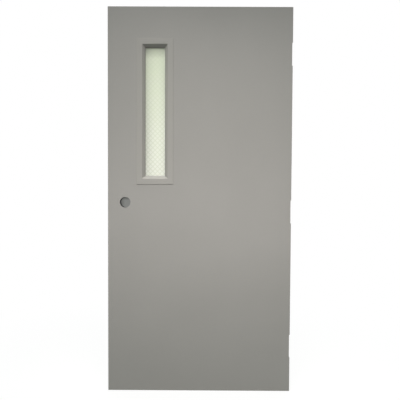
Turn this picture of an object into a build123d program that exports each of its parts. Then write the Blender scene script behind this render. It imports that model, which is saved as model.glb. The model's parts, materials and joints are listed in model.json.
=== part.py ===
"""Flush hollow steel door leaf with a narrow wired-glass vision panel, in millimetres.

The leaf stands upright with its origin at the middle of its bottom edge. +Z is up, the front
face looks along -Y, the lock edge is at -X and the hinge edge at +X.
"""

import os
from math import radians, tan

from build123d import *

# Leaf: two face sheets that meet at a seam down the middle of each vertical edge
leaf_width = 1009.65
leaf_height = 2114.55
leaf_thickness = 44.45
face_sheet = 1.2
fold_radius = 0.8
seam_lip = 9.0

# End channels, set open side out at the top and bottom
end_channel_sheet = 1.5
end_channel_depth = 19.0

# Hinge preparations: each mortise takes one leaf of a hinge, with a tapped plate behind it
hinge_top_inset = 252.0
hinge_bottom_inset = 252.0
hinge_middle_share = 0.4645
hinge_leaf_height = 127.0
hinge_leaf_depth = 3.7
hinge_back_margin = 6.35
hinge_plate_thickness = 4.5
hinge_plate_pad = 50.0
hinge_plate_joggle = 8.0
hinge_hole_radius = 2.25
hinge_hole_stagger = 12.7
hinge_outer_hole_spacing = 101.6
hinge_inner_hole_spacing = 44.45

# Lock preparation: a cross bore, and a mortise in the edge for the front of a latch
lock_height = 1049.5
lock_backset = 95.25
lock_bore_radius = 29.5
latch_front_height = 57.15
latch_front_width = 28.6
latch_front_depth = 4.0
latch_bore_radius = 12.7
latch_hole_radius = 1.75
latch_hole_spacing = 44.45
lock_plate_thickness = 2.7
lock_plate_fold_radius = 1.3
lock_plate_height = 127.0
lock_plate_wing = 140.0

# Vision panel: its place, the opening between the folds of its frame, and the frame's section
lite_from_top = 170.0
lite_from_lock_edge = 157.0
sight_width = 104.0
sight_height = 698.0
lite_sheet = 1.2
lite_fold_radius = 0.3
lite_proud = 2.0
lite_leg = 13.5
skin_overlap = 19.0
screw_to_cutout = 6.5
screw_to_bevel = 5.5
glass_to_screw = 9.5

# Glass and its bedding
glass_thickness = 6.35
glass_bite = 14.0
glass_edge_chamfer = 0.5
tape_thickness = 3.0
tape_width = 11.0
tape_inset = 2.0
block_length = 25.0
block_thickness = 8.0
block_spacing = 66.0

# Channels round the cut-out
cutout_channel_sheet = 1.5
cutout_channel_flange = 25.0

# Screws and weld nuts of the vision panel's frame
screw_radius = 2.1
screw_head_radius = 4.2
screw_head_angle = 82.0
screw_tip_gap = 0.45
screw_slot_width = 1.1
screw_slot_depth = 1.0
screws_on_long_side = 3
long_side_margin = 56.0
nut_radius = 4.0
nut_height = 5.0

# Clearances, and the overrun of cuts that leave the material
running_clearance = 0.1
core_clearance = 2.0
overrun = 10.0

# Sizes that follow from the ones above
half_width = leaf_width / 2
half_thickness = leaf_thickness / 2
inside_half = half_thickness - face_sheet
edge_bend = face_sheet + fold_radius
hinge_leaf_width = leaf_thickness - hinge_back_margin
hinge_plate_height = hinge_leaf_height + 2 * (hinge_plate_pad + hinge_plate_joggle)
hinge_plate_width = leaf_thickness - 2 * edge_bend
hinge_span = leaf_height - hinge_top_inset - hinge_bottom_inset
hinge_heights = {
    "top": leaf_height - hinge_top_inset,
    "middle": hinge_bottom_inset + hinge_middle_share * hinge_span,
    "bottom": hinge_bottom_inset,
}
lock_x = lock_backset - half_width
screw_line = glass_bite + glass_to_screw
bevel_run = screw_line - screw_to_bevel
cutout_margin = screw_line + screw_to_cutout
frame_margin = cutout_margin + skin_overlap
lite_x = lite_from_lock_edge + frame_margin + sight_width / 2 - half_width
lite_z = leaf_height - lite_from_top - frame_margin - sight_height / 2
flange_face = half_thickness + lite_proud
leg_face = glass_thickness / 2 + tape_thickness
cutout_width = sight_width + 2 * cutout_margin
cutout_height = sight_height + 2 * cutout_margin
glass_width = sight_width + 2 * glass_bite
glass_height = sight_height + 2 * glass_bite
screw_columns = sight_width + 2 * screw_line
screw_rows = sight_height + 2 * screw_line
screw_pitch = (screw_rows - 2 * long_side_margin) / (screws_on_long_side - 1)
screw_length = 2 * flange_face - lite_sheet - screw_tip_gap
screw_head_depth = (screw_head_radius - screw_radius) / tan(radians(screw_head_angle / 2))

# Planes of the vision panel: its middle, seen from the front, and the flanges on either side
lite_middle = Plane(origin=(lite_x, 0, lite_z), x_dir=(1, 0, 0), z_dir=(0, -1, 0))
front_flange_back = lite_middle.offset(flange_face - lite_sheet)
rear_flange = Plane(origin=(lite_x, flange_face, lite_z), x_dir=(-1, 0, 0), z_dir=(0, 1, 0))

os.makedirs("parts", exist_ok=True)

# Cuts that both face sheets share

with BuildPart() as lite_cutout:
    with BuildSketch(lite_middle):
        Rectangle(cutout_width, cutout_height)
    extrude(amount=leaf_thickness, both=True)

with BuildPart() as lock_bore:
    with BuildSketch(Plane.XZ):
        with Locations((lock_x, lock_height)):
            Circle(lock_bore_radius)
    extrude(amount=leaf_thickness, both=True)

with BuildPart() as latch_mortise:
    with BuildSketch(Plane.YZ.offset(latch_front_depth - half_width)):
        with Locations((0, lock_height)):
            Rectangle(latch_front_width, latch_front_height)
    extrude(amount=-latch_front_depth - overrun)

with BuildPart() as hinge_mortises:
    with BuildSketch(Plane.YZ.offset(half_width - hinge_leaf_depth)):
        for height in hinge_heights.values():
            with Locations((hinge_leaf_width - half_thickness, height)):
                Rectangle(
                    hinge_leaf_width + overrun, hinge_leaf_height, align=(Align.MAX, Align.CENTER)
                )
    extrude(amount=hinge_leaf_depth + overrun)

# The seam lips stop clear of the plates behind the hinges and the lock, and at the end channels

with BuildPart() as lip_reliefs:
    with BuildSketch(Plane.YZ):
        for height in hinge_heights.values():
            with Locations((0, height)):
                Rectangle(half_thickness, hinge_plate_height + 2 * core_clearance)
    extrude(amount=half_width - face_sheet)
    with BuildSketch(Plane.YZ):
        with Locations((0, lock_height)):
            Rectangle(half_thickness, lock_plate_height + 2 * core_clearance)
    extrude(amount=face_sheet - half_width)
    with BuildSketch(Plane.YZ):
        with Locations((0, 0), (0, leaf_height)):
            Rectangle(half_thickness, 2 * end_channel_depth)
    extrude(amount=half_width - face_sheet, both=True)

# Face sheets: each is folded round both vertical edges, with its lips turned in at the seam

for face, name, inside in (
    (-1, "front_face_sheet", Side.RIGHT),
    (1, "rear_face_sheet", Side.LEFT),
):
    with BuildPart() as face_pan:
        with BuildSketch():
            with BuildLine():
                FilletPolyline(
                    (half_width - seam_lip, 0),
                    (half_width, 0),
                    (half_width, face * half_thickness),
                    (-half_width, face * half_thickness),
                    (-half_width, 0),
                    (seam_lip - half_width, 0),
                    radius=edge_bend,
                )
                offset(amount=face_sheet, side=inside)
            make_face()
        extrude(amount=leaf_height)
        for cut in (lite_cutout, lock_bore, latch_mortise, hinge_mortises, lip_reliefs):
            add(cut.part, mode=Mode.SUBTRACT)
    face_pan.part.label = name
    export_step(face_pan.part, f"parts/{name}.step")

# End channels: folded channels welded between the sheets, open side out

for name, rim, web, inside in (
    ("top_end_channel", leaf_height, leaf_height - end_channel_depth, Side.LEFT),
    ("bottom_end_channel", 0, end_channel_depth, Side.RIGHT),
):
    with BuildPart() as end_channel:
        with BuildSketch(Plane.YZ):
            with BuildLine():
                FilletPolyline(
                    (-inside_half, rim),
                    (-inside_half, web),
                    (inside_half, web),
                    (inside_half, rim),
                    radius=end_channel_sheet + fold_radius,
                )
                offset(amount=end_channel_sheet, side=inside)
            make_face()
        extrude(amount=half_width - edge_bend, both=True)
    end_channel.part.label = name
    export_step(end_channel.part, f"parts/{name}.step")

# Hinge reinforcements: thick plates welded inside the edge, joggled in to leave room for the hinge

weld_face = half_width - face_sheet
seat_face = half_width - hinge_leaf_depth
seat_half = hinge_leaf_height / 2
joggle_half = seat_half + hinge_plate_joggle
plate_half = joggle_half + hinge_plate_pad

for position, height in hinge_heights.items():
    outer_face = [
        (weld_face, height - plate_half),
        (weld_face, height - joggle_half),
        (seat_face, height - seat_half),
        (seat_face, height + seat_half),
        (weld_face, height + joggle_half),
        (weld_face, height + plate_half),
    ]
    inner_face = [(x - hinge_plate_thickness, z) for x, z in reversed(outer_face)]
    with BuildPart() as hinge_reinforcement:
        with BuildSketch(Plane.XZ):
            with BuildLine():
                Polyline(*outer_face, *inner_face, close=True)
            make_face()
        extrude(amount=hinge_plate_width / 2, both=True)
        with Locations(Plane.YZ.offset(seat_face)):
            with Locations((-hinge_hole_stagger / 2, height)):
                with GridLocations(0, hinge_outer_hole_spacing, 1, 2):
                    Hole(hinge_hole_radius, depth=hinge_plate_thickness)
            with Locations((hinge_hole_stagger / 2, height)):
                with GridLocations(0, hinge_inner_hole_spacing, 1, 2):
                    Hole(hinge_hole_radius, depth=hinge_plate_thickness)
    hinge_reinforcement.part.label = f"hinge_reinforcement_{position}"
    export_step(hinge_reinforcement.part, f"parts/hinge_reinforcement_{position}.step")

# Lock reinforcement: a folded plate behind the latch mortise, with a wing along each face sheet

lock_web = latch_front_depth - half_width
wing_end = lock_web + lock_plate_wing

with BuildPart() as lock_reinforcement:
    with BuildSketch(Plane.XY.offset(lock_height)):
        with BuildLine():
            FilletPolyline(
                (wing_end, -inside_half),
                (lock_web, -inside_half),
                (lock_web, inside_half),
                (wing_end, inside_half),
                radius=lock_plate_thickness + lock_plate_fold_radius,
            )
            offset(amount=lock_plate_thickness, side=Side.RIGHT)
        make_face()
    extrude(amount=lock_plate_height / 2, both=True)
    add(lock_bore.part, mode=Mode.SUBTRACT)
    with Locations(Plane.YZ.offset(lock_web + lock_plate_thickness)):
        with Locations((0, lock_height)):
            Hole(latch_bore_radius, depth=lock_plate_thickness)
            with GridLocations(0, latch_hole_spacing, 1, 2):
                Hole(latch_hole_radius, depth=lock_plate_thickness)
lock_reinforcement.part.label = "lock_reinforcement"
export_step(lock_reinforcement.part, "parts/lock_reinforcement.step")

# Channels that stiffen the cut-out: the upright pair runs past the corners, the level pair fits between

for side, name, inside in (
    (-1, "cutout_channel_lock_side", Side.LEFT),
    (1, "cutout_channel_hinge_side", Side.RIGHT),
):
    web = lite_x + side * cutout_width / 2
    tip = web + side * cutout_channel_flange
    with BuildPart() as upright_channel:
        with BuildSketch(Plane.XY.offset(lite_z)):
            with BuildLine():
                FilletPolyline(
                    (tip, -inside_half),
                    (web, -inside_half),
                    (web, inside_half),
                    (tip, inside_half),
                    radius=cutout_channel_sheet + fold_radius,
                )
                offset(amount=cutout_channel_sheet, side=inside)
            make_face()
        extrude(amount=cutout_height / 2 + cutout_channel_flange, both=True)
    upright_channel.part.label = name
    export_step(upright_channel.part, f"parts/{name}.step")

for side, name, inside in (
    (-1, "cutout_channel_bottom", Side.RIGHT),
    (1, "cutout_channel_top", Side.LEFT),
):
    web = lite_z + side * cutout_height / 2
    tip = web + side * cutout_channel_flange
    with BuildPart() as level_channel:
        with BuildSketch(Plane.YZ.offset(lite_x)):
            with BuildLine():
                FilletPolyline(
                    (-inside_half, tip),
                    (-inside_half, web),
                    (inside_half, web),
                    (inside_half, tip),
                    radius=cutout_channel_sheet + fold_radius,
                )
                offset(amount=cutout_channel_sheet, side=inside)
            make_face()
        extrude(amount=cutout_width / 2, both=True)
    level_channel.part.label = name
    export_step(level_channel.part, f"parts/{name}.step")

# Paper honeycomb core: one slab bonded to both sheets, cut round the channels and the lock

core_margin = seam_lip + core_clearance
core_end = end_channel_depth + core_clearance
channel_ring = 2 * (cutout_channel_flange + core_clearance)

with BuildPart() as honeycomb_core:
    with BuildSketch(Plane.XZ):
        with Locations((0, leaf_height / 2)):
            Rectangle(leaf_width - 2 * core_margin, leaf_height - 2 * core_end)
        with Locations((lite_x, lite_z)):
            Rectangle(cutout_width + channel_ring, cutout_height + channel_ring, mode=Mode.SUBTRACT)
        with Locations((wing_end + core_clearance, lock_height)):
            Rectangle(
                latch_front_depth + lock_plate_wing + core_clearance,
                lock_plate_height + 2 * core_clearance,
                align=(Align.MAX, Align.CENTER),
                mode=Mode.SUBTRACT,
            )
    extrude(amount=inside_half, both=True)
honeycomb_core.part.label = "honeycomb_core"
export_step(honeycomb_core.part, "parts/honeycomb_core.step")

# Vision panel frame: one folded section run round the opening with mitred corners, front and rear

sill = Vector(lite_x, 0, lite_z - sight_height / 2)

for face, name in ((-1, "lite_frame_front"), (1, "lite_frame_rear")):
    with BuildPart() as lite_frame:
        with BuildLine(lite_middle):
            Polyline(
                (0, -sight_height / 2),
                (sight_width / 2, -sight_height / 2),
                (sight_width / 2, sight_height / 2),
                (-sight_width / 2, sight_height / 2),
                (-sight_width / 2, -sight_height / 2),
                close=True,
            )
        with BuildSketch(Plane(origin=sill, x_dir=(0, 0, -1), z_dir=(face, 0, 0))):
            with BuildLine():
                FilletPolyline(
                    (frame_margin, half_thickness),
                    (frame_margin, flange_face),
                    (bevel_run, flange_face),
                    (0, leg_face),
                    (lite_leg, leg_face),
                    radius=lite_sheet + lite_fold_radius,
                )
                offset(amount=lite_sheet, side=Side.LEFT)
            make_face()
        sweep(transition=Transition.RIGHT)
        if name == "lite_frame_rear":
            with Locations(rear_flange):
                for across, up, columns, rows in (
                    (screw_columns, screw_pitch, 2, screws_on_long_side),
                    (0, screw_rows, 1, 2),
                ):
                    with GridLocations(across, up, columns, rows):
                        CounterSinkHole(
                            screw_radius + running_clearance,
                            screw_head_radius + running_clearance,
                            depth=lite_proud,
                            counter_sink_angle=screw_head_angle,
                        )
    lite_frame.part.label = name
    export_step(lite_frame.part, f"parts/{name}.step")

# Glass, the tapes that bed it in the frame, and the blocks under it

with BuildPart() as glass_pane:
    with BuildSketch(lite_middle):
        Rectangle(glass_width, glass_height)
    extrude(amount=glass_thickness / 2, both=True)
    chamfer(glass_pane.edges(), glass_edge_chamfer)
glass_pane.part.label = "glass_pane"
export_step(glass_pane.part, "parts/glass_pane.step")

for face, name in ((1, "glazing_tape_front"), (-1, "glazing_tape_rear")):
    with BuildPart() as glazing_tape:
        with BuildSketch(lite_middle.offset(face * glass_thickness / 2)):
            Rectangle(sight_width + 2 * tape_inset, sight_height + 2 * tape_inset)
            offset(amount=tape_width, kind=Kind.INTERSECTION)
            Rectangle(
                sight_width + 2 * tape_inset, sight_height + 2 * tape_inset, mode=Mode.SUBTRACT
            )
        extrude(amount=face * tape_thickness)
    glazing_tape.part.label = name
    export_step(glazing_tape.part, f"parts/{name}.step")

with BuildPart() as setting_blocks:
    with BuildSketch(Plane.XY.offset(lite_z - cutout_height / 2)):
        with Locations((lite_x, 0)):
            with GridLocations(block_spacing, 0, 2, 1):
                Rectangle(block_length, block_thickness)
    extrude(amount=(cutout_height - glass_height) / 2)
setting_blocks.part.label = "setting_blocks"
export_step(setting_blocks.part, "parts/setting_blocks.step")

# Countersunk screws through the rear flange, into weld nuts behind the front flange

with BuildPart() as screw:
    with BuildSketch(Plane.XZ):
        with BuildLine():
            Polyline(
                (0, 0),
                (screw_head_radius, 0),
                (screw_radius, -screw_head_depth),
                (screw_radius, -screw_length),
                (0, -screw_length),
                close=True,
            )
        make_face()
    revolve(axis=Axis.Z)
    with BuildSketch():
        Rectangle(2 * screw_head_radius + overrun, screw_slot_width)
    extrude(amount=-screw_slot_depth, mode=Mode.SUBTRACT)

with BuildPart() as lite_frame_screws:
    with Locations(rear_flange):
        with GridLocations(screw_columns, screw_pitch, 2, screws_on_long_side):
            add(screw.part)
        with GridLocations(0, screw_rows, 1, 2):
            add(screw.part)
lite_frame_screws.part.label = "lite_frame_screws"
export_step(lite_frame_screws.part, "parts/lite_frame_screws.step")

with BuildPart() as lite_frame_weld_nuts:
    with BuildSketch(front_flange_back):
        with GridLocations(screw_columns, screw_pitch, 2, screws_on_long_side):
            RegularPolygon(nut_radius, 6)
            Circle(screw_radius + running_clearance, mode=Mode.SUBTRACT)
        with GridLocations(0, screw_rows, 1, 2):
            RegularPolygon(nut_radius, 6)
            Circle(screw_radius + running_clearance, mode=Mode.SUBTRACT)
    extrude(amount=-nut_height)
lite_frame_weld_nuts.part.label = "lite_frame_weld_nuts"
export_step(lite_frame_weld_nuts.part, "parts/lite_frame_weld_nuts.step")
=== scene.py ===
"""Looks of a flush hollow steel door leaf with a wired-glass vision panel, in metres.

The leaf stands on its bottom edge, front face towards -Y, lock edge at -X. The solids keep their
shapes: this script gives each one its finish, adds the wire mesh in the glass, and sets the studio.
"""

import json
from math import ceil, radians

import bmesh
import bpy
from mathutils import Matrix, Vector


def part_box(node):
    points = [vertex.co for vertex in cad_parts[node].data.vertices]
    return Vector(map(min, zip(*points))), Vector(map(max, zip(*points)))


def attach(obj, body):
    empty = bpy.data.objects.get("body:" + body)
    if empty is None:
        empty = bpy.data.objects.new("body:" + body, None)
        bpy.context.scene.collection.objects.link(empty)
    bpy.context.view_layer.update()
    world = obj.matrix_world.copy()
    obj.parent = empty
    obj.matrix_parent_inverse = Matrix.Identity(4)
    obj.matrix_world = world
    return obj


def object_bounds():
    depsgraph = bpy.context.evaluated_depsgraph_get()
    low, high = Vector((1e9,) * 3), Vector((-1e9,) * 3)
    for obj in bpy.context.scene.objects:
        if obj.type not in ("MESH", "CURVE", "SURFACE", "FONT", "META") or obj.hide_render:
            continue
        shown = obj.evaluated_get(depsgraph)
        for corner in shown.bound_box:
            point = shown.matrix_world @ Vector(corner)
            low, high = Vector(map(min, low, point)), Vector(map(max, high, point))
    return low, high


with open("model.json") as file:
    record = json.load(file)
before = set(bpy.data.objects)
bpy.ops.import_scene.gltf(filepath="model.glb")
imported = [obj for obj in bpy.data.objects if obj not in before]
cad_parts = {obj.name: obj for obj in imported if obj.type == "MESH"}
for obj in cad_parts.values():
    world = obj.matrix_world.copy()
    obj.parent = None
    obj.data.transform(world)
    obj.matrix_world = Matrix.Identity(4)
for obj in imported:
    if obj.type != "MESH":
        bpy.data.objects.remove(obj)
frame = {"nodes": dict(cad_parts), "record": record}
cad_low, cad_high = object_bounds()

MM = 0.001

# Enamel: its clouds and grain, and how far rubbing shifts its roughness. Orange peel is about 3 mm
# across: coarser here, and still so slight that it hardly shows on satin paint
PAINT_CLOUD = 320 * MM
PAINT_GRAIN = 9 * MM
PAINT_RUB = 0.05
ORANGE_PEEL = 5 * MM
ORANGE_PEEL_DEPTH = 0.1 * MM

# Finishes of the inner pieces and the fasteners. The zinc's spangle is coarser than on real
# plating, so that it shows from close by
PRIMER_RUN = 25 * MM
PRIMER_RUN_DEPTH = 0.15 * MM
ZINC_SPANGLE = 1.5 * MM
PAPER_CELL = 25 * MM
PAPER_CELL_DEPTH = 1 * MM
TAPE_BUBBLE = 1.2 * MM
BLOCK_BUBBLE = 2 * MM
BUBBLE_DEPTH = 0.2 * MM

# Rolled glass: cloudy patches in its colour, and the pebbles of its face
GLASS_CLOUD = 60 * MM
GLASS_PEBBLE = 6 * MM
GLASS_PEBBLE_DEPTH = 0.4 * MM

# Wire mesh rolled into the glass: welded diamonds of round wire. The wire is about 0.6 mm thick:
# 1 mm here, so that it shows from close by. Further off, only its painted shade in the glass shows
DIAMOND = 26 * MM
WIRE_RADIUS = 0.5 * MM
WIRE_SIDES = 8
WIRE_SHADE = 5 * MM
WIRE_SCALE = 4 * MM
WELD_RADIUS = 1.5 * MM
MESH_MARGIN = 1.5 * MM
SHORTEST_WIRE = DIAMOND / 10

# Painted frame shade on the glass: it deepens towards the head of the pane and away from a clear
# middle
HEAD_SHADE_REACH = 70 * MM
HEAD_SHADE_SHARE = 0.52
SHADE_CLEAREST = 10 * MM
SIDE_SHADE_SHARE = 0.38
FRAME_SHADE_COLOUR = "#4A4C43"

# Camera: place, and turn in degrees: down, to its left, and clockwise as it looks
CAMERA_PLACE = (0.008, -2.45, 1.141)
CAMERA_DOWN = 1.82
CAMERA_LEFT = 0.14
CAMERA_ROLL = -0.277
CAMERA_LENS_MM = 39.7
CAMERA_SENSOR_MM = 36

# Lamps: place, aim, width, height, spread in degrees, power in watts and colour
LAMPS = {
    "upper_softbox": ((0, -1.4, 3.2), (0.1, 0, 0.25), 1.8, 0.5, 65, 9.5, "#FFF9F8"),
    "front_fill": ((0, -1.7, 0.9), (0, 0, 0.9), 2.4, 0.4, 66, 1.2, "#FFF6F5"),
    "rear_softbox": ((1.6, 2.9, 1.2), (0.3, 0, 1.1), 4.8, 2.4, 180, 36, "#FFFFFF"),
}
# Ceiling: its strength along its lean, falling off to none at right angles to that
SKY = 1.3
SKY_LEAN = (-0.25, 0, 1)
SKY_COLOUR = "#F6FFFD"
BACKGROUND = "#FFFFFF"

# Floor: pale where it is seen, dull where it only sends light back up, and plain white further out
FLOOR_SIDE = 30
FLOOR_SEEN = "#F4F3F1"
FLOOR_DULL = "#6E6E6C"
FLOOR_WHITE_SHARE = 0.85
FLOOR_FADE = (0.7, 2.2)

# Shade card: a card behind the lock bore that glows grey as painted shade, darker to the left
# and the top as painted shadow of the bore's edge
CARD_SIDE = 90 * MM
CARD_GAP = 1 * MM
CARD_DARK = "#5E605C"
CARD_LIGHT = "#828380"
CARD_LEFT_FADE = (-36 * MM, -10 * MM)
CARD_TOP_FADE = (23 * MM, 10 * MM)

# Sockets of a Mix node: its share, its two numbers, its two colours, and the colour that it gives
SHARE = 0
NUMBER_A, NUMBER_B = 2, 3
COLOUR_A, COLOUR_B = 6, 7
MIXED_COLOUR = 2


def linear(colour):
    """An sRGB hex colour as linear red, green, blue and alpha."""
    shares = [int(colour[i:i + 2], 16) / 255 for i in (1, 3, 5)]
    return [s / 12.92 if s <= 0.04045 else ((s + 0.055) / 1.055) ** 2.4 for s in shares] + [1]


def per_metre(size):
    """Texture scale for a pattern whose features are this long, in metres."""
    return 1 / size


def add(tree, kind, inputs=(), **settings):
    """Add a node: settings are its properties, inputs pairs of a socket and its value or source."""
    made = tree.nodes.new(kind)
    for key, value in settings.items():
        setattr(made, key, value)
    for socket, value in dict(inputs).items():
        if isinstance(value, bpy.types.NodeSocket):
            tree.links.new(value, made.inputs[socket])
        else:
            made.inputs[socket].default_value = value
    return made


def new_material(name):
    """A material with no nodes yet, and its node tree."""
    material = bpy.data.materials.new(name)
    material.use_nodes = True
    material.node_tree.nodes.clear()
    return material, material.node_tree


def satin_enamel(name, light, dark, roughness):
    """Sprayed satin enamel on sheet steel.

    The eye sees one even grey with slow cloudy shifts, and patches that handling has rubbed a
    little smoother. The spray gun's orange peel hardly shows.
    """
    material, tree = new_material(name)
    place = add(tree, "ShaderNodeTexCoord").outputs["Object"]
    clouds = add(
        tree, "ShaderNodeTexNoise",
        {"Vector": place, "Scale": per_metre(PAINT_CLOUD), "Detail": 3, "Roughness": 0.45},
    )
    grain = add(
        tree, "ShaderNodeTexNoise",
        {"Vector": place, "Scale": per_metre(PAINT_GRAIN), "Detail": 2, "Roughness": 0.5},
    )
    mottle = add(
        tree, "ShaderNodeMix",
        {SHARE: 0.3, NUMBER_A: clouds.outputs["Fac"], NUMBER_B: grain.outputs["Fac"]},
    )
    colour = add(
        tree, "ShaderNodeMix",
        {SHARE: mottle.outputs[0], COLOUR_A: linear(dark), COLOUR_B: linear(light)},
        data_type="RGBA",
    )
    rubbed = add(
        tree, "ShaderNodeMapRange",
        {
            "Value": clouds.outputs["Fac"],
            "From Min": 0.3,
            "From Max": 0.7,
            "To Min": roughness + PAINT_RUB,
            "To Max": roughness - PAINT_RUB,
        },
    )
    peel = add(
        tree, "ShaderNodeTexNoise",
        {"Vector": place, "Scale": per_metre(ORANGE_PEEL), "Detail": 1, "Roughness": 0.4},
    )
    relief = add(
        tree, "ShaderNodeBump",
        {"Strength": 0.25, "Distance": ORANGE_PEEL_DEPTH, "Height": peel.outputs["Fac"]},
    )
    paint = add(
        tree, "ShaderNodeBsdfPrincipled",
        {
            "Base Color": colour.outputs[MIXED_COLOUR],
            "Roughness": rubbed.outputs[0],
            "Normal": relief.outputs["Normal"],
            "IOR": 1.5,
        },
    )
    add(tree, "ShaderNodeOutputMaterial", {"Surface": paint.outputs[0]})
    return material


def grey_primer():
    """Dipped grey primer on the inner channels and plates: dead matt, with darker runs."""
    material, tree = new_material("grey_primer")
    place = add(tree, "ShaderNodeTexCoord").outputs["Object"]
    runs = add(
        tree, "ShaderNodeTexNoise",
        {"Vector": place, "Scale": per_metre(PRIMER_RUN), "Detail": 4, "Roughness": 0.6},
    )
    colour = add(
        tree, "ShaderNodeMix",
        {SHARE: runs.outputs["Fac"], COLOUR_A: linear("#6F7070"), COLOUR_B: linear("#8A8B89")},
        data_type="RGBA",
    )
    relief = add(
        tree, "ShaderNodeBump",
        {"Strength": 0.3, "Distance": PRIMER_RUN_DEPTH, "Height": runs.outputs["Fac"]},
    )
    primer = add(
        tree, "ShaderNodeBsdfPrincipled",
        {
            "Base Color": colour.outputs[MIXED_COLOUR],
            "Roughness": 0.75,
            "Normal": relief.outputs["Normal"],
            "IOR": 1.5,
        },
    )
    add(tree, "ShaderNodeOutputMaterial", {"Surface": primer.outputs[0]})
    return material


def off_the_wires(tree, axes):
    """0 over a wire of the mesh, rising to 1 where the wire's painted shade ends."""
    distances = []
    for way in ("ADD", "SUBTRACT"):
        slant = add(
            tree, "ShaderNodeMath", {0: axes.outputs["X"], 1: axes.outputs["Z"]}, operation=way,
        )
        distances.append(
            add(tree, "ShaderNodeMath", {0: slant.outputs[0], 1: DIAMOND / 2}, operation="PINGPONG")
        )
    nearest = add(
        tree, "ShaderNodeMath",
        {0: distances[0].outputs[0], 1: distances[1].outputs[0]}, operation="MINIMUM",
    )
    wire_shade_fade = add(
        tree, "ShaderNodeMapRange",
        {"Value": nearest.outputs[0], "From Min": 0, "From Max": WIRE_SHADE},
        interpolation_type="SMOOTHSTEP",
    )
    return wire_shade_fade.outputs[0]


def painted_frame_shade(tree, axes, half):
    """Painted frame shade on the pane: more towards its head and away from its clear middle."""
    head = add(
        tree, "ShaderNodeMapRange",
        {"Value": axes.outputs["Z"], "From Min": half.z - HEAD_SHADE_REACH, "From Max": half.z},
    )
    across = add(
        tree, "ShaderNodeMapRange",
        {"Value": axes.outputs["X"], "From Min": SHADE_CLEAREST, "From Max": -half.x},
        clamp=False,
    )
    squared = add(tree, "ShaderNodeMath", {0: across.outputs[0], 1: 2}, operation="POWER")
    sides = add(
        tree, "ShaderNodeMath", {0: squared.outputs[0], 1: SIDE_SHADE_SHARE}, operation="MULTIPLY",
    )
    frame_shade_share = add(
        tree, "ShaderNodeMath",
        {0: head.outputs[0], 1: HEAD_SHADE_SHARE, 2: sides.outputs[0]}, operation="MULTIPLY_ADD",
    )
    return frame_shade_share.outputs[0]


def wired_glass():
    """Rolled obscure glass, pale green-white, with a wire mesh inside.

    The pebbled rolled face scatters what lies behind it, so the pane glows milky and takes soft
    shadows from its frame. Its colour holds painted shade as well: darker and greener towards the
    head, whiter low down, with a painted shadow along each wire low on the pane that turns to a
    faint painted highlight near its head, so the diamonds show from across a room. Painted frame
    shade darkens it along the head and the sides.
    """
    material, tree = new_material("wired_glass")
    low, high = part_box("glass_pane")
    half = (high - low) / 2
    place = add(tree, "ShaderNodeTexCoord").outputs["Object"]
    centred = add(
        tree, "ShaderNodeVectorMath", {0: place, 1: (low + high) / 2}, operation="SUBTRACT",
    )
    axes = add(tree, "ShaderNodeSeparateXYZ", {0: centred.outputs[0]})
    clouds = add(
        tree, "ShaderNodeTexNoise",
        {"Vector": place, "Scale": per_metre(GLASS_CLOUD), "Detail": 3, "Roughness": 0.6},
    )
    # Painted shade: the pane's colour is darker and greener towards its head, whiter low down
    downward = add(
        tree, "ShaderNodeMapRange",
        {
            "Value": axes.outputs["Z"],
            "From Min": -half.z,
            "From Max": half.z,
            "To Min": 1,
            "To Max": 0,
        },
    )
    clear = add(
        tree, "ShaderNodeMix",
        {SHARE: 0.4, NUMBER_A: downward.outputs[0], NUMBER_B: clouds.outputs["Fac"]},
    )
    cell = add(
        tree, "ShaderNodeMix",
        {SHARE: clear.outputs[0], COLOUR_A: linear("#F0FADD"), COLOUR_B: linear("#FFFFF7")},
        data_type="RGBA",
    )
    # Painted shadow of each wire, strong low on the pane, turning to a faint painted highlight near
    # the head
    shade = add(
        tree, "ShaderNodeMix",
        {SHARE: clear.outputs[0], COLOUR_A: linear("#F4FEE2"), COLOUR_B: linear("#DEE0D1")},
        data_type="RGBA",
    )
    without_frame_shade = add(
        tree, "ShaderNodeMix",
        {
            SHARE: off_the_wires(tree, axes),
            COLOUR_A: shade.outputs[MIXED_COLOUR],
            COLOUR_B: cell.outputs[MIXED_COLOUR],
        },
        data_type="RGBA",
    )
    # Painted frame shade darkens the pane along its head and sides
    colour = add(
        tree, "ShaderNodeMix",
        {
            SHARE: painted_frame_shade(tree, axes, half),
            COLOUR_A: without_frame_shade.outputs[MIXED_COLOUR],
            COLOUR_B: linear(FRAME_SHADE_COLOUR),
        },
        data_type="RGBA",
    )
    pebbles = add(
        tree, "ShaderNodeTexVoronoi",
        {"Vector": place, "Scale": per_metre(GLASS_PEBBLE), "Smoothness": 1.0}, feature="SMOOTH_F1",
    )
    relief = add(
        tree, "ShaderNodeBump",
        {"Strength": 0.35, "Distance": GLASS_PEBBLE_DEPTH, "Height": pebbles.outputs["Distance"]},
    )
    glass = add(
        tree, "ShaderNodeBsdfPrincipled",
        {
            "Base Color": colour.outputs[MIXED_COLOUR],
            "Roughness": 0.45,
            "Normal": relief.outputs["Normal"],
            "IOR": 1.52,
            "Transmission Weight": 0.6,
        },
    )
    add(tree, "ShaderNodeOutputMaterial", {"Surface": glass.outputs[0]})
    return material


def drawn_steel_wire():
    """Drawn steel wire, dulled by the hot glass: dark grey lines with a soft sheen."""
    material, tree = new_material("drawn_steel_wire")
    place = add(tree, "ShaderNodeTexCoord").outputs["Object"]
    scale = add(
        tree, "ShaderNodeTexNoise",
        {"Vector": place, "Scale": per_metre(WIRE_SCALE), "Detail": 2, "Roughness": 0.5},
    )
    colour = add(
        tree, "ShaderNodeMix",
        {SHARE: scale.outputs["Fac"], COLOUR_A: linear("#3E3F3B"), COLOUR_B: linear("#5E5F59")},
        data_type="RGBA",
    )
    wire = add(
        tree, "ShaderNodeBsdfPrincipled",
        {"Base Color": colour.outputs[MIXED_COLOUR], "Metallic": 0.9, "Roughness": 0.45},
    )
    add(tree, "ShaderNodeOutputMaterial", {"Surface": wire.outputs[0]})
    return material


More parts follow.
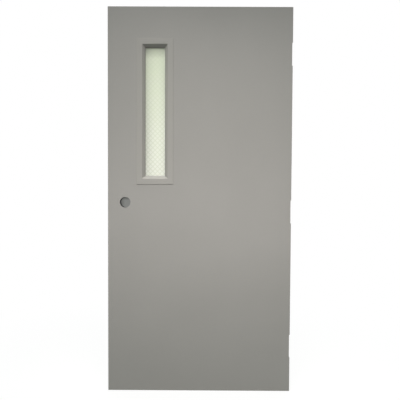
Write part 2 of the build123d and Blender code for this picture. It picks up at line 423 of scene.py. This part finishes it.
def zinc_plate():
    """Zinc-plated screw steel: pale blue-grey with a fine spangle and dull patches."""
    material, tree = new_material("zinc_plate")
    place = add(tree, "ShaderNodeTexCoord").outputs["Object"]
    spangle = add(
        tree, "ShaderNodeTexVoronoi", {"Vector": place, "Scale": per_metre(ZINC_SPANGLE)},
    )
    colour = add(
        tree, "ShaderNodeMix",
        {
            SHARE: spangle.outputs["Distance"],
            COLOUR_A: linear("#B9BDBE"),
            COLOUR_B: linear("#9DA1A1"),
        },
        data_type="RGBA",
    )
    dull = add(
        tree, "ShaderNodeMapRange",
        {"Value": spangle.outputs["Distance"], "To Min": 0.28, "To Max": 0.45},
    )
    zinc = add(
        tree, "ShaderNodeBsdfPrincipled",
        {
            "Base Color": colour.outputs[MIXED_COLOUR],
            "Metallic": 1.0,
            "Roughness": dull.outputs[0],
        },
    )
    add(tree, "ShaderNodeOutputMaterial", {"Surface": zinc.outputs[0]})
    return material


def kraft_paper():
    """Kraft paper honeycomb, seen at its cut edge: pale paper walls, cells dark with painted shade.
    """
    material, tree = new_material("kraft_paper_honeycomb")
    place = add(tree, "ShaderNodeTexCoord").outputs["Object"]
    cells = add(
        tree, "ShaderNodeTexVoronoi",
        {"Vector": place, "Scale": per_metre(PAPER_CELL), "Randomness": 0.15},
        feature="DISTANCE_TO_EDGE",
    )
    # Painted shade: the hollows of the open cells are darker brown
    hollow_and_shade = add(
        tree, "ShaderNodeMapRange",
        {"Value": cells.outputs["Distance"], "From Min": 0.02, "From Max": 0.08},
    )
    colour = add(
        tree, "ShaderNodeMix",
        {SHARE: hollow_and_shade.outputs[0], COLOUR_A: linear("#C2A076"), COLOUR_B: linear("#8E6F49")},
        data_type="RGBA",
    )
    relief = add(
        tree, "ShaderNodeBump",
        {"Strength": 0.6, "Distance": PAPER_CELL_DEPTH, "Height": hollow_and_shade.outputs[0]}, invert=True,
    )
    paper = add(
        tree, "ShaderNodeBsdfPrincipled",
        {
            "Base Color": colour.outputs[MIXED_COLOUR],
            "Roughness": 0.9,
            "Normal": relief.outputs["Normal"],
            "IOR": 1.45,
        },
    )
    add(tree, "ShaderNodeOutputMaterial", {"Surface": paper.outputs[0]})
    return material


def dull_rubber(name, light, dark, bubble):
    """Foam tape or rubber block: soft black-grey with small closed bubbles."""
    material, tree = new_material(name)
    place = add(tree, "ShaderNodeTexCoord").outputs["Object"]
    bubbles = add(
        tree, "ShaderNodeTexVoronoi", {"Vector": place, "Scale": per_metre(bubble)},
    )
    colour = add(
        tree, "ShaderNodeMix",
        {SHARE: bubbles.outputs["Distance"], COLOUR_A: linear(dark), COLOUR_B: linear(light)},
        data_type="RGBA",
    )
    relief = add(
        tree, "ShaderNodeBump",
        {"Strength": 0.4, "Distance": BUBBLE_DEPTH, "Height": bubbles.outputs["Distance"]},
    )
    rubber = add(
        tree, "ShaderNodeBsdfPrincipled",
        {
            "Base Color": colour.outputs[MIXED_COLOUR],
            "Roughness": 0.8,
            "Normal": relief.outputs["Normal"],
            "IOR": 1.5,
        },
    )
    add(tree, "ShaderNodeOutputMaterial", {"Surface": rubber.outputs[0]})
    return material


def finish_nodes(material, *names):
    """Give solids their finish."""
    for name in names:
        piece = frame["nodes"][name]
        piece.data.materials.clear()
        piece.data.materials.append(material)


def clipped(offset, slope, low, high):
    """The ends of the line z = offset + slope * x inside a box, or None if hardly any is inside."""
    ends = sorted([(low[1] - offset) / slope, (high[1] - offset) / slope])
    start = max(low[0], ends[0])
    stop = min(high[0], ends[1])
    if stop - start < SHORTEST_WIRE:
        return None
    return (start, offset + slope * start), (stop, offset + slope * stop)


def wire_mesh():
    """Two layers of straight wires that cross at right angles, with a weld at each crossing."""
    low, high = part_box("glass_pane")
    middle = (low + high) / 2
    half_x = (high.x - low.x) / 2 - MESH_MARGIN
    half_z = (high.z - low.z) / 2 - MESH_MARGIN
    mesh = bmesh.new()
    reach = ceil((half_x + half_z) / DIAMOND)
    for slope, layer in ((1, -WIRE_RADIUS), (-1, WIRE_RADIUS)):
        for step in range(-reach, reach + 1):
            stretch = clipped(step * DIAMOND, slope, (-half_x, -half_z), (half_x, half_z))
            if stretch is None:
                continue
            start, stop = (middle + Vector((x, layer, z)) for x, z in stretch)
            run = stop - start
            turn = run.to_track_quat("Z", "Y").to_matrix().to_4x4()
            bmesh.ops.create_cone(
                mesh, segments=WIRE_SIDES, radius1=WIRE_RADIUS, radius2=WIRE_RADIUS,
                depth=run.length, cap_ends=True,
                matrix=Matrix.Translation((start + stop) / 2) @ turn,
            )
    # Crossings lie on every second place of a grid with half-diamond steps
    for row in range(-2 * reach, 2 * reach + 1):
        for column in range(-2 * reach, 2 * reach + 1):
            x, z = column * DIAMOND / 2, row * DIAMOND / 2
            if (row + column) % 2 or abs(x) > half_x or abs(z) > half_z:
                continue
            bmesh.ops.create_icosphere(
                mesh, subdivisions=1, radius=WELD_RADIUS,
                matrix=Matrix.Translation(middle + Vector((x, 0, z))),
            )
    for face in mesh.faces:
        face.smooth = True
    data = bpy.data.meshes.new("glass_wire_mesh")
    mesh.to_mesh(data)
    mesh.free()
    piece = bpy.data.objects.new("glass_wire_mesh", data)
    bpy.context.collection.objects.link(piece)
    data.materials.append(drawn_steel_wire())
    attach(piece, "root")


def seen_directly(tree):
    """1 for rays from the camera, a glossy surface or glass, and 0 for rays that only light."""
    path = add(tree, "ShaderNodeLightPath")
    gloss = add(
        tree, "ShaderNodeMath",
        {0: path.outputs["Is Camera Ray"], 1: path.outputs["Is Glossy Ray"]}, operation="MAXIMUM",
    )
    clear = add(
        tree, "ShaderNodeMath",
        {0: gloss.outputs[0], 1: path.outputs["Is Transmission Ray"]}, operation="MAXIMUM",
    )
    return clear.outputs[0]


def plane(name, side, place, turn, material):
    """A square stage plane."""
    mesh = bmesh.new()
    bmesh.ops.create_grid(mesh, x_segments=1, y_segments=1, size=side / 2, matrix=turn)
    data = bpy.data.meshes.new(name)
    mesh.to_mesh(data)
    mesh.free()
    sheet = bpy.data.objects.new(name, data)
    sheet.location = place
    bpy.context.collection.objects.link(sheet)
    data.materials.append(material)
    return sheet


def studio_floor():
    """Plain pale floor that keeps a soft shadow."""
    material, tree = new_material("studio_floor")
    seen = seen_directly(tree)
    colour = add(
        tree, "ShaderNodeMix",
        {SHARE: seen, COLOUR_A: linear(FLOOR_DULL), COLOUR_B: linear(FLOOR_SEEN)},
        data_type="RGBA",
    )
    shade = add(tree, "ShaderNodeBsdfDiffuse", {"Color": colour.outputs[MIXED_COLOUR]})
    white = add(tree, "ShaderNodeEmission", {"Color": linear(BACKGROUND), "Strength": 1})
    place = add(tree, "ShaderNodeTexCoord").outputs["Object"]
    away = add(tree, "ShaderNodeVectorMath", {0: place}, operation="LENGTH")
    fade = add(
        tree, "ShaderNodeMapRange",
        {
            "Value": away.outputs["Value"],
            "From Min": FLOOR_FADE[0],
            "From Max": FLOOR_FADE[1],
            "To Min": FLOOR_WHITE_SHARE,
            "To Max": 1,
        },
        interpolation_type="SMOOTHSTEP",
    )
    share = add(tree, "ShaderNodeMath", {0: seen, 1: fade.outputs[0]}, operation="MULTIPLY")
    mixed = add(
        tree, "ShaderNodeMixShader",
        {0: share.outputs[0], 1: shade.outputs[0], 2: white.outputs[0]},
    )
    add(tree, "ShaderNodeOutputMaterial", {"Surface": mixed.outputs[0]})
    plane("studio_floor", FLOOR_SIDE, (0, 0, 0), Matrix.Identity(4), material)


def shade_card():
    """One-sided card close behind the lock bore, glowing grey as painted shade: the bore reads as a
    dim hole.
    """
    material, tree = new_material("shade_card")
    place = add(tree, "ShaderNodeTexCoord").outputs["Object"]
    axes = add(tree, "ShaderNodeSeparateXYZ", {0: place})
    left = add(
        tree, "ShaderNodeMapRange",
        {"Value": axes.outputs["X"], "From Min": CARD_LEFT_FADE[0], "From Max": CARD_LEFT_FADE[1]},
    )
    top = add(
        tree, "ShaderNodeMapRange",
        {"Value": axes.outputs["Z"], "From Min": CARD_TOP_FADE[0], "From Max": CARD_TOP_FADE[1]},
    )
    fade = add(tree, "ShaderNodeMath", {0: left.outputs[0], 1: top.outputs[0]}, operation="MULTIPLY")
    colour = add(
        tree, "ShaderNodeMix",
        {SHARE: fade.outputs[0], COLOUR_A: linear(CARD_DARK), COLOUR_B: linear(CARD_LIGHT)},
        data_type="RGBA",
    )
    grey = add(tree, "ShaderNodeEmission", {"Color": colour.outputs[MIXED_COLOUR], "Strength": 1})
    clear = add(tree, "ShaderNodeBsdfTransparent")
    back = add(tree, "ShaderNodeNewGeometry").outputs["Backfacing"]
    mixed = add(
        tree, "ShaderNodeMixShader", {0: back, 1: grey.outputs[0], 2: clear.outputs[0]},
    )
    add(tree, "ShaderNodeOutputMaterial", {"Surface": mixed.outputs[0]})
    bore = next(m for m in frame["record"]["mounts"] if m["name"] == "lock_bore")
    centre = Vector(bore["pos_m"])
    centre.y = cad_high.y + CARD_GAP
    card = plane("shade_card", CARD_SIDE, centre, Matrix.Rotation(radians(90), 4, "X"), material)
    card.visible_shadow = False
    card.visible_diffuse = False
    card.visible_glossy = False
    card.visible_transmission = False


def white_world():
    """White where it is seen; where it only lights, a soft ceiling that leans to the lock side."""
    world = bpy.data.worlds.new("studio")
    bpy.context.scene.world = world
    world.use_nodes = True
    tree = world.node_tree
    tree.nodes.clear()
    way = add(tree, "ShaderNodeTexCoord").outputs["Generated"]
    overhead = add(
        tree, "ShaderNodeVectorMath", {0: way, 1: Vector(SKY_LEAN).normalized()},
        operation="DOT_PRODUCT",
    )
    strength = add(
        tree, "ShaderNodeMapRange",
        {"Value": overhead.outputs["Value"], "To Min": 0, "To Max": SKY},
    )
    sky = add(
        tree, "ShaderNodeBackground",
        {"Color": linear(SKY_COLOUR), "Strength": strength.outputs[0]},
    )
    white = add(tree, "ShaderNodeBackground", {"Color": linear(BACKGROUND), "Strength": 1})
    mixed = add(
        tree, "ShaderNodeMixShader",
        {0: seen_directly(tree), 1: sky.outputs[0], 2: white.outputs[0]},
    )
    add(tree, "ShaderNodeOutputWorld", {"Surface": mixed.outputs[0]})


def lamps():
    """Soft lamps, hidden from the camera."""
    for name, (place, aim, width, height, spread, power, colour) in LAMPS.items():
        light = bpy.data.lights.new(name, "AREA")
        light.shape = "RECTANGLE"
        light.size = width
        light.size_y = height
        light.spread = radians(spread)
        light.energy = power
        light.color = linear(colour)[:3]
        lamp = bpy.data.objects.new(name, light)
        lamp.location = place
        lamp.rotation_euler = (Vector(aim) - Vector(place)).to_track_quat("-Z", "Y").to_euler()
        lamp.visible_camera = False
        bpy.context.collection.objects.link(lamp)


def camera():
    """The camera at the photograph's place and angle."""
    data = bpy.data.cameras.new("camera")
    data.sensor_width = CAMERA_SENSOR_MM
    data.lens = CAMERA_LENS_MM
    shot = bpy.data.objects.new("camera", data)
    shot.location = CAMERA_PLACE
    shot.rotation_euler = (radians(90 - CAMERA_DOWN), radians(CAMERA_ROLL), radians(CAMERA_LEFT))
    bpy.context.collection.objects.link(shot)
    bpy.context.scene.camera = shot


# Finishes of the solids

finish_nodes(
    satin_enamel("satin_enamel_leaf", "#A9A7A2", "#A09E99", 0.46),
    "front_face_sheet", "rear_face_sheet",
)
finish_nodes(
    satin_enamel("satin_enamel_lite_frame", "#ABA9A3", "#A4A29C", 0.42),
    "lite_frame_front", "lite_frame_rear",
)
finish_nodes(
    grey_primer(),
    "top_end_channel", "bottom_end_channel", "lock_reinforcement",
    "hinge_reinforcement_top", "hinge_reinforcement_middle", "hinge_reinforcement_bottom",
    "cutout_channel_lock_side", "cutout_channel_hinge_side",
    "cutout_channel_top", "cutout_channel_bottom",
)
finish_nodes(wired_glass(), "glass_pane")
finish_nodes(kraft_paper(), "honeycomb_core")
finish_nodes(
    dull_rubber("foam_tape", "#3A3A39", "#232322", TAPE_BUBBLE),
    "glazing_tape_front", "glazing_tape_rear",
)
finish_nodes(dull_rubber("block_rubber", "#262625", "#171716", BLOCK_BUBBLE), "setting_blocks")
finish_nodes(zinc_plate(), "lite_frame_screws", "lite_frame_weld_nuts")

wire_mesh()

# Studio

studio_floor()
shade_card()
white_world()
lamps()
camera()
bpy.context.scene.view_settings.view_transform = "Standard"
